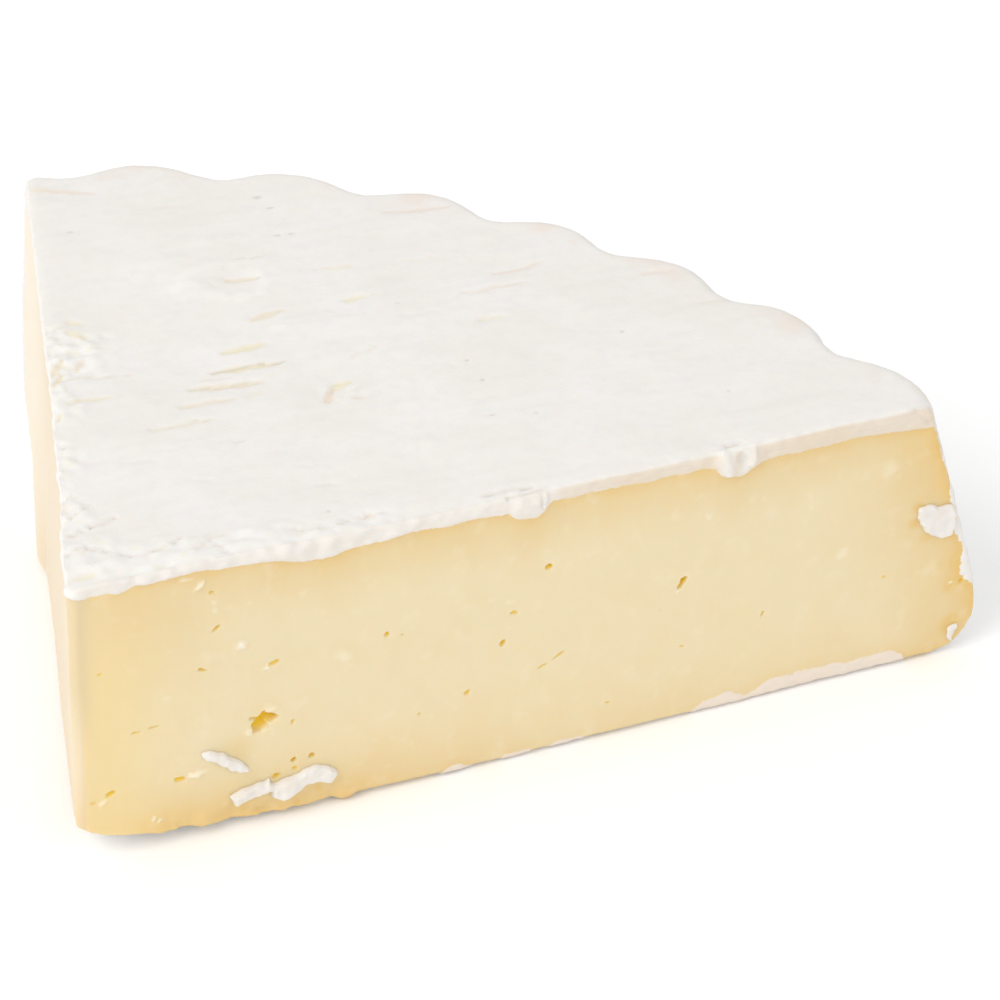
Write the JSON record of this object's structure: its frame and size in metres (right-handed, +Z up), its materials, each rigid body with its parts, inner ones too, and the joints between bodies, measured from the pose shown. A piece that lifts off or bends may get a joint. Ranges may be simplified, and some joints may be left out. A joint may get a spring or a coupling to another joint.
{
  "type": "cut wedge of soft white-rind cheese",
  "caption": "Wedge of soft-ripened cheese with a white bloomy rind, cut from a low wheel with a scalloped rim; pale yellow paste with small eyes.",
  "frame": {"origin": "middle of the bounding box of the base the wedge rests on", "axes": "+Z up; +X along the longer cut, from the tip towards the rim; the longer cut faces -Y"},
  "size_m": [0.1256, 0.108, 0.0416],
  "materials": {
    "cheese": "chalky off-white bloomy rind over smooth pale yellow paste, matte to semi-matte"
  },
  "bodies": {
    "root": {"brie_wedge": "cheese"}
  },
  "joints": []
}
